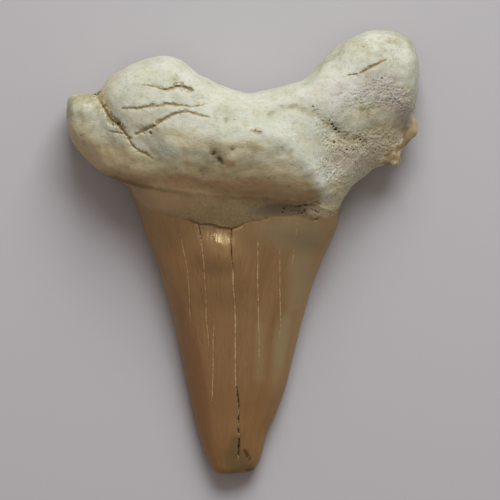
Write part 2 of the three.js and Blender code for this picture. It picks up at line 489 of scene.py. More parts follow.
# %% Strokes
STROKES = {  # each path is a list of (x, y, reach, lift)
    "lip": [(-7.8, 7.0, 0.9, -0.05), (-1.7, 6.4, 0.9, -0.1), (2, 6.2, 1.0, 0.05), (5, 6.2, 1.0, 0.1),
            (7.6, 6.6, 1.0, 0.1)],
    "neck groove": [(1.0, 5.0, 1.2, -0.05), (5, 4.7, 1.3, -0.3), (7.6, 4.7, 1.0, -0.2)],
    "below the swelling": [(-5.0, -2.8, 4.2, 0.3), (-2.0, -2.8, 4.2, 0.45)],
    "glossy swelling": [(-4.6, 0.0, 2.4, 0.35), (-3.2, -0.1, 3.0, 0.75), (-2.2, -0.2, 2.6, 0.6)],
    "diagonal ridge": [(2.4, 14.0, 1.2, 0.1), (6.4, 11.4, 1.3, 0.2), (8.8, 7.6, 1.1, 0.4),
                       (10.0, 5.4, 0.9, 0.45)],
    "under the crest": [(-0.2, 12.0, 0.6, -0.05), (1.6, 12.0, 0.8, -0.1), (4.8, 12.0, 0.8, -0.1),
                        (5.6, 11.0, 0.7, -0.1)],
    "foramen": [(-3.8, 12.0, 0.6, -0.08), (-3.2, 11.3, 0.7, -0.25), (-2.4, 10.2, 0.7, -0.3),
                (-2.0, 9.4, 0.5, -0.1)],
    "foramen, right arm": [(-2.3, 10.6, 0.5, -0.15), (-1.2, 11.5, 0.6, -0.25), (-0.7, 11.9, 0.4, -0.1)],
    "boss left of it": [(-4.7, 10.0, 1.0, 0.2), (-4.1, 9.7, 1.0, 0.2)],
    "boss between its arms": [(-2.1, 12.1, 0.7, 0.15), (-2.0, 11.4, 0.5, 0.1)],
    "boss below its right arm": [(-1.3, 10.2, 0.8, 0.18), (-0.7, 10.8, 0.6, 0.1)],
    "valley": [(4.6, 16.3, 0.6, -0.06), (7.4, 15.8, 0.6, -0.12), (9.6, 14.6, 0.6, -0.15),
               (10.2, 13.6, 0.5, -0.25), (11.0, 13.3, 0.7, -0.12), (12.4, 12.6, 0.6, -0.15),
               (14.0, 12.7, 0.6, -0.08)],
    "beyond the valley": [(7.6, 17.2, 1.2, 0.05), (10.0, 16.0, 1.3, 0.1), (12.4, 14.4, 1.3, 0.1)],
    "flange crest": [(-15.6, 14.4, 1.0, 0.1), (-14.0, 12.8, 1.0, 0.2), (-12.2, 10.8, 0.9, 0.15)],
    "dip at the lobe's left foot": [(-15.6, 16.6, 0.7, -0.12), (-14.4, 15.4, 0.7, -0.12)],
    "tip spall": [(-0.6, -22.0, 1.7, -0.2), (-0.8, -24.0, 2.0, -0.4)],
    "chips on the tip's rim": [(0.4, -24.5, 0.6, -0.5), (1.0, -24.6, 0.5, -0.4)],
}
FINE_VOXEL = 0.34

sculpt(tooth, STROKES)
even_net(tooth, FINE_VOXEL, rounds=3)

# %% [markdown]
# ## Where one tissue ends and the next begins
# Seen from above, two lines divide the tooth: the root's lip, and the upper edge of the enamel.
# Between them is the neck band, where the enamel was thin and has worn away. On the side that
# the tooth lies on there is no neck band, and the enamel runs up to the root. The lines run on
# past both sides of the tooth. Each vertex gets its distance to both, with + towards the root
# and - towards the tip.

# %% Edge lines
ENAMEL_LINE = [
    (-40.0, 7.4), (-12.6, 7.4), (-12.2, 6.4), (-11.5, 5.6), (-10.5, 4.85), (-8.6, 4.05), (-7.6, 3.8),
    (-6.0, 3.55), (-4.8, 3.05), (-3.5, 3.1), (-2.6, 2.75), (-1.3, 2.6), (-0.4, 2.8), (0.2, 3.2), (1.1, 3.4),
    (2.0, 3.5), (2.6, 3.75), (3.5, 3.95), (6.0, 4.05), (7.9, 3.5), (9.3, 3.8), (10.9, 4.5), (12.0, 5.4),
    (40.0, 5.4),
]
UNDER_ENAMEL_LINE = [(-40, 7.6), (-13.5, 7.6), (-9.0, 8.3), (0.0, 8.9), (8.0, 8.2), (12.5, 6.4), (40, 6.4)]
LIP_LINE = [
    (-40.0, 8.2), (-14.2, 8.2), (-13.8, 7.95), (-11.4, 7.2), (-10.1, 7.0), (-7.8, 6.6), (-5.2, 6.3),
    (-1.7, 5.9), (2.0, 5.8), (4.0, 5.65), (6.0, 5.3), (7.3, 5.4), (8.3, 5.4), (8.9, 5.0), (10.0, 4.7),
    (10.9, 4.5), (12.0, 5.4), (40.0, 5.4),
]
RIM_HEIGHTS = (0.8, 2.6)  # below the first the underside's line holds, above the second the upper ones


def edges_of(piece):
    """For each vertex, its signed distance to the enamel's edge and to the root's lip."""
    points = points_of(piece)
    upper = smooth_step(*RIM_HEIGHTS, points[:, 2])
    under_edge = signed(points, UNDER_ENAMEL_LINE)
    enamel_distance = upper * signed(points, ENAMEL_LINE) + (1 - upper) * under_edge
    lip_distance = upper * signed(points, LIP_LINE) + (1 - upper) * under_edge
    return enamel_distance, lip_distance


enamel_distance, lip_distance = edges_of(tooth)
print(f"{(enamel_distance < 0).sum()} points are enamel, {(lip_distance > 0).sum()} are root")

# %% [markdown]
# ## Cracks
# The root dried and split into a few short open cracks, and the enamel into long straight ones
# that follow its fibres. A crack is a path with a half width and a depth at each of its points,
# so it can open and close along its length.

# %% Cracks of the root
ROOT_CRACKS = {  # each path is a list of (x, y, half width, depth)
    "upper left": [(-11.3, 18.8, 0.05, 0.1), (-9.8, 18.55, 0.07, 0.15), (-8.8, 18.2, 0.14, 0.4),
                   (-8.2, 18.3, 0.16, 0.4), (-7.4, 18.65, 0.20, 0.5), (-6.6, 18.5, 0.22, 0.55),
                   (-5.7, 18.15, 0.17, 0.4)],
    "middle left": [(-13.6, 16.1, 0.07, 0.15), (-11.6, 16.15, 0.11, 0.3), (-10.1, 16.4, 0.15, 0.4),
                    (-9.3, 16.35, 0.08, 0.2), (-8.6, 16.65, 0.16, 0.4), (-7.7, 16.55, 0.13, 0.35),
                    (-5.7, 16.3, 0.06, 0.15), (-4.4, 16.5, 0.03, 0.1)],
    "long curved": [(-11.9, 13.25, 0.10, 0.25), (-11.0, 13.6, 0.16, 0.4), (-9.6, 14.35, 0.17, 0.4),
                    (-8.6, 15.05, 0.14, 0.35), (-7.3, 15.6, 0.15, 0.35), (-6.1, 15.75, 0.13, 0.3),
                    (-5.0, 15.4, 0.11, 0.3), (-3.7, 15.1, 0.05, 0.15)],
    "flange": [(-16.3, 17.8, 0.30, 0.9), (-15.9, 16.8, 0.18, 0.6), (-15.2, 15.65, 0.18, 0.6),
               (-14.7, 14.85, 0.22, 0.7), (-13.8, 14.3, 0.30, 0.8), (-13.2, 13.3, 0.12, 0.4),
               (-12.7, 12.75, 0.15, 0.5), (-12.5, 12.1, 0.09, 0.3), (-11.7, 11.45, 0.11, 0.35),
               (-10.8, 11.05, 0.11, 0.3), (-10.0, 10.35, 0.04, 0.1)],
    "flange branch": [(-13.2, 13.3, 0.08, 0.2), (-14.2, 13.4, 0.09, 0.25), (-15.0, 13.6, 0.05, 0.1)],
    "right lobe": [(11.9, 19.85, 0.06, 0.15), (13.0, 20.0, 0.10, 0.25), (13.9, 20.4, 0.12, 0.3),
                   (14.7, 20.9, 0.17, 0.45), (15.3, 21.2, 0.10, 0.25), (16.2, 21.6, 0.04, 0.1)],
    "hairline, middle": [(-5.8, 17.4, 0.015, 0.04), (-5.0, 17.2, 0.02, 0.08), (-4.3, 17.3, 0.015, 0.04)],
    "hairline, upper": [(-5.4, 16.9, 0.015, 0.04), (-4.9, 16.6, 0.02, 0.06), (-4.0, 16.6, 0.015, 0.04)],
    "nick on the crest": [(0.9, 13.65, 0.05, 0.06), (1.4, 13.5, 0.13, 0.15), (2.1, 13.4, 0.10, 0.1)],
    "neck slit": [(6.0, 5.05, 0.02, 0.1), (6.5, 5.15, 0.09, 0.25), (7.3, 5.4, 0.14, 0.4),
                  (8.3, 5.6, 0.16, 0.5), (8.6, 5.4, 0.10, 0.3)],
}
print(f"{len(ROOT_CRACKS)} cracks in the root")

# %% Cracks of the enamel
ENAMEL_CRACKS = {  # each path is a list of (x, y, half width, depth)
    "left": [(-7.0, 2.1, 0.04, 0.04), (-6.7, 0.6, 0.05, 0.05), (-6.2, -2.0, 0.05, 0.05),
             (-6.0, -4.4, 0.05, 0.05), (-5.9, -7.6, 0.04, 0.04), (-5.9, -8.6, 0.02, 0.02)],
    "second": [(-4.9, 3.0, 0.06, 0.22), (-4.75, 2.0, 0.06, 0.20), (-4.55, 0.8, 0.05, 0.12),
               (-4.4, -0.8, 0.05, 0.05), (-4.3, -2.3, 0.06, 0.06), (-4.1, -4.8, 0.05, 0.05),
               (-4.1, -7.6, 0.05, 0.05), (-3.9, -8.9, 0.06, 0.06), (-3.8, -11.2, 0.03, 0.03)],
    "second, lower": [(-3.2, -7.4, 0.04, 0.04), (-3.3, -10.5, 0.05, 0.05), (-3.3, -13.2, 0.06, 0.06),
                      (-3.4, -16.0, 0.05, 0.05), (-3.5, -17.2, 0.02, 0.02)],
    "middle": [(-1.25, 2.6, 0.07, 0.22), (-1.25, -0.4, 0.07, 0.20), (-1.1, -1.6, 0.06, 0.14),
               (-1.05, -2.6, 0.08, 0.08), (-1.05, -4.0, 0.08, 0.11), (-0.9, -5.2, 0.08, 0.08),
               (-0.85, -6.4, 0.08, 0.11), (-0.8, -7.4, 0.09, 0.08), (-0.8, -9.0, 0.08, 0.11),
               (-0.8, -11.2, 0.09, 0.09), (-0.8, -13.6, 0.09, 0.10), (-0.75, -15.0, 0.09, 0.12),
               (-0.65, -15.3, 0.09, 0.22), (-0.4, -17.4, 0.09, 0.22), (-0.45, -17.9, 0.05, 0.06),
               (-0.45, -18.5, 0.09, 0.22), (-0.45, -19.1, 0.09, 0.22), (-0.45, -19.5, 0.05, 0.06),
               (-0.5, -19.9, 0.09, 0.22), (-0.45, -20.3, 0.09, 0.22), (-0.35, -20.7, 0.07, 0.06),
               (-0.4, -21.1, 0.11, 0.26), (-0.45, -22.4, 0.10, 0.26), (-0.45, -22.9, 0.07, 0.18),
               (-0.5, -23.4, 0.04, 0.06)],
    "fourth": [(1.75, 1.4, 0.05, 0.05), (1.7, -2.4, 0.07, 0.07), (1.8, -7.6, 0.06, 0.06),
               (1.9, -10.8, 0.05, 0.05), (1.7, -14.4, 0.02, 0.02)],
    "fifth": [(4.2, 0.8, 0.04, 0.04), (4.2, -4.5, 0.06, 0.06), (4.3, -7.7, 0.05, 0.05),
              (4.0, -11.6, 0.02, 0.02)],
    "right": [(6.2, 3.3, 0.05, 0.05), (5.9, 0.7, 0.04, 0.04), (5.7, -0.4, 0.06, 0.06),
              (5.5, -2.1, 0.02, 0.02)],
}
print(f"{len(ENAMEL_CRACKS)} cracks in the enamel")

# %% [markdown]
# ## A finer net where fine detail comes
# The even net is too coarse for a crack a tenth of a millimetre wide. A net that fine all over
# would be far too heavy, so only the faces near the cracks, at the enamel's edge and in the
# porous part of the root are split, some of them twice.

# %% Soft masks
POROUS_ZONE = [  # each path is a list of (x, y, reach, strength)
    [(8.6, 14.6, 3.0, 0.8), (10.5, 12.5, 4.0, 1.0), (13.0, 11.8, 5.0, 1.0), (16.5, 12.5, 4.5, 1.0)],
    [(9.5, 9.5, 3.4, 1.0), (11.5, 7.6, 2.6, 1.0), (10.4, 5.6, 2.4, 1.0), (9.4, 4.4, 1.6, 0.9),
     (7.6, 4.6, 1.0, 0.7)],
    [(7.4, 10.4, 2.0, 0.5), (8.6, 7.6, 1.6, 0.6)],
    [(11.6, 7.2, 1.8, 0.9), (13.2, 8.9, 2.2, 1.0), (15.4, 10.4, 2.0, 0.9)],
    [(12.0, 15.0, 1.8, 0.7), (16.5, 14.6, 2.0, 0.7)],
    [(11.5, 17.0, 4.5, 0.75), (16.0, 18.0, 5.0, 0.95), (18.6, 17.0, 3.6, 1.0)],
    [(12.5, 22.5, 4.0, 0.6), (17.0, 23.0, 4.0, 0.65)],
    [(-19.6, 16.6, 1.0, 0.7), (-18.0, 17.5, 1.1, 0.9), (-16.8, 17.6, 0.9, 0.8)],
]
VALLEY_ZONE = [
    [(4.6, 16.9, 1.6, 0.5), (7.6, 16.2, 1.6, 0.8), (9.6, 14.6, 1.5, 1.0), (10.6, 13.4, 1.5, 1.0),
     (12.0, 12.2, 1.8, 1.0), (14.6, 12.2, 1.8, 0.8)],
]
NECK_ZONE = [
    [(4.2, 4.6, 0.8, 0.9), (6.2, 4.6, 0.8, 0.9), (8.2, 4.4, 0.9, 1.0)],
    [(7.8, 4.2, 1.0, 1.0), (9.4, 4.2, 1.0, 1.0), (10.8, 4.3, 0.8, 1.0)],
]
BRUSH_CORE = 0.1  # the share of a soft brush's reach within which it covers in full


def painted(points, strokes):
    """How strongly each point is covered by soft strokes, each a path of (x, y, reach, strength)."""
    cover = np.zeros(len(points))
    for path in strokes:
        distance, values, _ = nearest(points, path)
        reach, strength = values.T
        cover = np.maximum(cover, strength * (1 - smooth_step(BRUSH_CORE, 1.0, distance / reach)))
    return cover


porous_share = (painted(points_of(tooth), POROUS_ZONE) > 0).mean()
print(f"{porous_share:.0%} of the points lie above or below the porous zone")

# %% Refine
POROUS_ENOUGH = 0.75
UPPER_SIDE = 3.0  # millimetres above the floor, where the side that is seen begins
LINE_MARGINS = (0.42, 0.13)  # millimetres beside a line that are split, round by round
ENAMEL_MARGIN = 0.7  # the enamel's edge needs this share of the margin


def near_lines(points, margin):
    """True for points within a margin of a crack, of the root's lip or of the enamel's edge."""
    close = np.abs(signed(points, ENAMEL_LINE)) < margin * ENAMEL_MARGIN
    close |= np.abs(signed(points, LIP_LINE)) < margin
    for path in [*ROOT_CRACKS.values(), *ENAMEL_CRACKS.values()]:
        distance, values, _ = nearest(points, path)
        close |= distance < values[:, 0] + margin
    return close


def refine(piece, margin):
    """Splits each upper face into four where it lies near a line or where there are many pores."""
    centres = np.empty(len(piece.data.polygons) * 3)
    piece.data.polygons.foreach_get("center", centres)
    centres = centres.reshape(-1, 3) / MM
    porous = painted(centres, POROUS_ZONE + VALLEY_ZONE + NECK_ZONE) > POROUS_ENOUGH
    chosen = (near_lines(centres, margin) | porous) & (centres[:, 2] > UPPER_SIDE)
    make_active(piece)
    bpy.ops.object.mode_set(mode="EDIT")
    bpy.ops.mesh.select_mode(type="FACE")
    bpy.ops.mesh.select_all(action="DESELECT")
    bpy.ops.object.mode_set(mode="OBJECT")
    piece.data.polygons.foreach_set("select", chosen)
    bpy.ops.object.mode_set(mode="EDIT")
    bpy.ops.mesh.subdivide(number_cuts=1)
    bpy.ops.object.mode_set(mode="OBJECT")
    print(f"{piece.name}: {chosen.sum()} faces refined, {len(piece.data.polygons)} in all")


for margin in LINE_MARGINS:
    refine(tooth, margin)

# %% [markdown]
# ## The dip under the enamel's upper edge
# Just above the glossy swelling the enamel's edge stands a little lower than the neck. A brush
# stroke presses the surface down there, and the enamel's edge is its border: the neck stays as
# it is, so a small step is left. It comes after the refining, because a coarse net would tear it.

# %% Under the enamel's edge
ENAMEL_STROKES = {  # each path is a list of (x, y, reach, lift)
    "dip above the swelling": [(-4.8, 3.4, 2.2, -0.25), (-3.2, 3.4, 3.0, -0.5), (-2.0, 3.2, 2.6, -0.45)],
}
sculpt(tooth, ENAMEL_STROKES, border=ENAMEL_LINE)

# %% [markdown]
# ## Worn lumps and grain
# The root is old porous dentine: it is never smooth, with low lumps a few millimetres across and
# a fine grain on them. Its weathered right side is a sponge, and the stub ends in a rough break.
# A Displace modifier with a cloud texture gives each of them. It works through a vertex group,
# so the enamel stays smooth.

# %% Lumps and grain
ROOT_ABOVE_LIP = (-0.3, 0.6)  # millimetres above the lip where the root's lumps begin, and are full
SPONGE_SIDES = (-0.4, 0.1)  # how far up a normal must point for the sponge to begin, and to be full
BREAK_SIDES = (-0.6, -0.2)  # and the same for the stub's break
STUB_BREAK = [
    [(20.2, 14.6, 1.2, 1.0), (20.2, 13.2, 1.4, 1.0), (18.6, 11.2, 1.4, 1.0), (16.8, 9.6, 1.4, 1.0)],
]
WEIGHT_STEPS = 10


def roughen(piece, name, size, height, group):
    """Raises and lowers the surface a little by a cloud pattern, as much as the group says."""
    pattern = bpy.data.textures.new(name, "CLOUDS")
    pattern.noise_scale = size * MM
    pattern.noise_depth = 2
    apply_modifier(
        piece, "DISPLACE", texture=pattern, texture_coords="LOCAL", strength=height * MM,
        mid_level=0.5, vertex_group=group,
    )


def paint_group(piece, name, weights):
    """A vertex group from one weight per vertex, in a few steps."""
    group = piece.vertex_groups.new(name=name)
    levels = np.round(weights * WEIGHT_STEPS).astype(int)
    for level in range(1, WEIGHT_STEPS + 1):
        group.add(np.flatnonzero(levels == level).tolist(), level / WEIGHT_STEPS, "REPLACE")


_, lip_distance = edges_of(tooth)
paint_group(tooth, "root", smooth_step(*ROOT_ABOVE_LIP, lip_distance))
roughen(tooth, "root_lumps", size=3.0, height=0.30, group="root")
roughen(tooth, "root_dimples", size=1.1, height=0.20, group="root")
roughen(tooth, "root_grain", size=0.5, height=0.07, group="root")
paint_group(tooth, "sponge", painted(points_of(tooth), POROUS_ZONE) * facing_up(tooth, *SPONGE_SIDES))
roughen(tooth, "sponge_grain", size=0.25, height=0.11, group="sponge")
paint_group(tooth, "broken", painted(points_of(tooth), STUB_BREAK) * facing_up(tooth, *BREAK_SIDES))
roughen(tooth, "stub_breaks", size=0.9, height=0.45, group="broken")
print("root roughened")

# %% [markdown]
# ## Cut the cracks
# Each crack is a groove with steep walls. Its edge is made ragged with a noise, because a clean
# edge would look drawn on. How deep each vertex lies in a crack is kept for the materials.

# %% Cutting
FRAY_SIZES = (0.6, 0.22)  # millimetres from one bay to the next along a crack's ragged edge
FRAY_ROOM = 0.2  # millimetres beside a crack that a bay may reach
FULL_WIDTH = 0.05  # half a crack's width from which its colour shows in full
THINNEST = 0.01


def ragged(points, size, seed):
    """A soft noise from -1 to 1 for each point."""
    offset = Vector((seed * 7.3, seed * 3.1, 0))  # any large step leads to another part of the noise
    return np.array([noise.noise(Vector(point) / size + offset) for point in points])


def carve(piece, paths, roughness, seed, width_scale=1.0, depth_scale=1.0, margin=0.0):
    """Cuts a groove along each path. Gives each vertex's share of a full groove, and its depth.
    The share counts the margin beside the groove too, where its colour goes on."""
    share_kept = np.zeros(len(piece.data.vertices))
    depth_kept = np.zeros(len(piece.data.vertices))
    for path in paths:
        points = points_of(piece)
        distance, values, _ = nearest(points, path)
        half_width, depth = values.T * [[width_scale], [depth_scale]]
        close = (distance < half_width * 2 + FRAY_ROOM) & (facing_up(piece) > 0)
        fray = sum(ragged(points[close], size, seed) for size in FRAY_SIZES)
        width = half_width.copy()
        width[close] *= 1 + roughness * fray
        share = np.clip(1 - distance / np.maximum(width, THINNEST), 0, 1) * close
        sink = depth * np.sqrt(share)
        points[:, 2] -= sink
        set_points(piece, points)
        coloured_width = np.maximum(width + margin, THINNEST)
        coloured = np.clip(1 - distance / coloured_width, 0, 1) * close
        share_kept = np.maximum(share_kept, coloured * np.clip(half_width / FULL_WIDTH, 0, 1))
        depth_kept = np.maximum(depth_kept, sink)
        seed += 1
    return share_kept, depth_kept


# %% Cut the root's cracks and the enamel's
ROOT_CRACK_GAPE = 1.6  # a root crack's mouth against the width of its floor, which the path gives
ROOT_CRACK_DEPTH = 0.65  # the share of its depth that dust has left open
OPEN_DEPTHS = (0.09, 0.16)  # depths at which a crack in the enamel begins to look dark, and is dark

crack_share, _ = carve(
    tooth, ROOT_CRACKS.values(), roughness=1.1, seed=1,
    width_scale=ROOT_CRACK_GAPE, depth_scale=ROOT_CRACK_DEPTH, margin=0.04,
)
enamel_share, enamel_depth = carve(tooth, ENAMEL_CRACKS.values(), roughness=0.5, seed=20, margin=0.03)
open_share = smooth_step(*OPEN_DEPTHS, enamel_depth)
print(f"{(crack_share > 0).sum()} points lie in root cracks, {(enamel_share > 0).sum()} in enamel cracks")

# %% Cut the seam between enamel and neck
SEAM_HALF_WIDTH = 0.07
SEAM_DEPTH = 0.04
SEAM_RISE = 0.05  # the seam runs this far above the enamel's edge
SEAM_START = (-6.0, -4.6)  # across, where the seam begins and where it is at its widest
SEAM_END = (3.6, 2.0)  # across, where it has closed and where it is still at its widest

seam_path = []
for x, y in ENAMEL_LINE:
    if SEAM_START[0] <= x <= SEAM_END[0]:
        openness = smooth_step(*SEAM_START, x) * smooth_step(*SEAM_END, x)
        seam_path.append((x, y + SEAM_RISE, SEAM_HALF_WIDTH * openness, SEAM_DEPTH))
seam_share, _ = carve(tooth, [seam_path], roughness=0.9, seed=40)
print(f"{(seam_share > 0).sum()} points lie in the seam")

# %% [markdown]
# ## Pits and pores
# Blood vessels once entered the root through small holes, and its right side has weathered to a
# sponge. The larger holes are placed one by one, and the pores are scattered at random, most
# where the porous mask is strongest.

# %% Pits
PITS = [  # x, y, radius, depth
    (-10.3, 13.4, 0.18, 0.35), (-13.85, 14.45, 0.28, 0.45), (-3.15, 11.1, 0.24, 0.5),
    (-2.6, 10.45, 0.30, 0.4), (-2.35, 10.1, 0.26, 0.45), (-1.1, 11.5, 0.20, 0.3),
    (-0.75, 11.6, 0.14, 0.2), (-2.3, 8.7, 0.16, 0.3), (-1.7, 6.6, 0.14, 0.3), (16.7, 21.0, 0.14, 0.3),
    (15.65, 19.5, 0.13, 0.25), (10.05, 14.35, 0.17, 0.35),
    (10.2, 14.1, 0.12, 0.3), (10.45, 13.8, 0.19, 0.4), (9.75, 14.75, 0.10, 0.2), (10.75, 13.45, 0.10, 0.2),
    (12.6, 12.7, 0.13, 0.25), (13.2, 12.6, 0.13, 0.25), (13.8, 12.6, 0.10, 0.2), (-18.1, 13.1, 0.12, 0.25),
    (-17.8, 12.4, 0.10, 0.2), (6.6, 16.9, 0.10, 0.2), (7.2, 16.7, 0.12, 0.2), (7.9, 16.3, 0.12, 0.2),
    (1.4, 13.6, 0.13, 0.2), (1.9, 13.45, 0.12, 0.2), (4.65, 4.85, 0.14, 0.3), (4.5, 4.45, 0.13, 0.2),
    (5.45, 5.05, 0.13, 0.25), (4.5, 3.3, 0.12, 0.2), (2.65, 3.75, 0.10, 0.2), (5.9, 5.05, 0.10, 0.2),
    (3.5, 4.3, 0.08, 0.15), (8.1, 3.6, 0.12, 0.2), (10.3, 12.3, 0.15, 0.3), (11.7, 11.5, 0.13, 0.25),
    (11.6, 9.2, 0.14, 0.25), (9.0, 12.4, 0.10, 0.2),
]
PIT_SIDES = 0.2  # how far up a normal must point for a pit to be pressed in
FULL_PIT = 0.25  # millimetres of depth from which a pit is as dark as any


def press_pits(piece, pits):
    """Presses round pits into the upper surface. Gives each vertex's share of a full pit."""
    points = points_of(piece)
    upper = np.flatnonzero((facing_up(piece) > PIT_SIDES) & (points[:, 2] > UPPER_SIDE))
    across, along = points[upper, 0], points[upper, 1]
    share_kept = np.zeros(len(upper))
    sink = np.zeros(len(upper))
    for x, y, radius, depth in pits:
        share = np.clip(1 - ((across - x) ** 2 + (along - y) ** 2) / radius ** 2, 0, 1)
        sink = np.maximum(sink, depth * share)
        share_kept = np.maximum(share_kept, share * min(1, depth / FULL_PIT))
    points[upper, 2] -= sink
    set_points(piece, points)
    pit_share = np.zeros(len(points))
    pit_share[upper] = share_kept
    return pit_share


# %% Pores
PORE_FIELD = ((3, 3), (20, 25))  # x and y from here to there, where the zones lie
PORE_RADII = (0.06, 0.078, 0.13)  # the smallest, the commonest and the largest
TRIES = 60  # random places for each pore that is wanted, because most are turned down
CROWDING = 1.5  # above 1, the pores crowd where the zone is strongest
PORES = [  # zone, how many, depth of a hole against its radius, random seed
    (POROUS_ZONE, 560, 0.9, 7),
    (VALLEY_ZONE, 26, 1.8, 8),
    (NECK_ZONE, 44, 1.8, 9),
]


def scattered_pores(zone, count, steepness, seed):
    """Pores at random places, kept where a second random number is below the zone's strength."""
    random = np.random.default_rng(seed)
    spots = random.uniform(*PORE_FIELD, (count * TRIES, 2))
    kept = spots[random.random(len(spots)) < painted(spots, zone) ** CROWDING][:count]
    radii = random.triangular(*PORE_RADII, len(kept))
    return [(x, y, radius, radius * steepness) for (x, y), radius in zip(kept, radii)]


holes = list(PITS)
for row in PORES:
    holes += scattered_pores(*row)
pit_share = press_pits(tooth, holes)
print(f"{len(PITS)} pits placed by hand, and {len(holes) - len(PITS)} pores")

# %% [markdown]
# ## The worn flats that it lies on
# The tooth rests on the swollen parts of its other side. Where they reach the floor they are
# worn flat, so whatever is below the floor is raised to it.

# %% Worn flats
points = points_of(tooth)
print(f"{(points[:, 2] < 0).sum()} points worn flat")
points[:, 2] = np.maximum(points[:, 2], 0)
set_points(tooth, points)
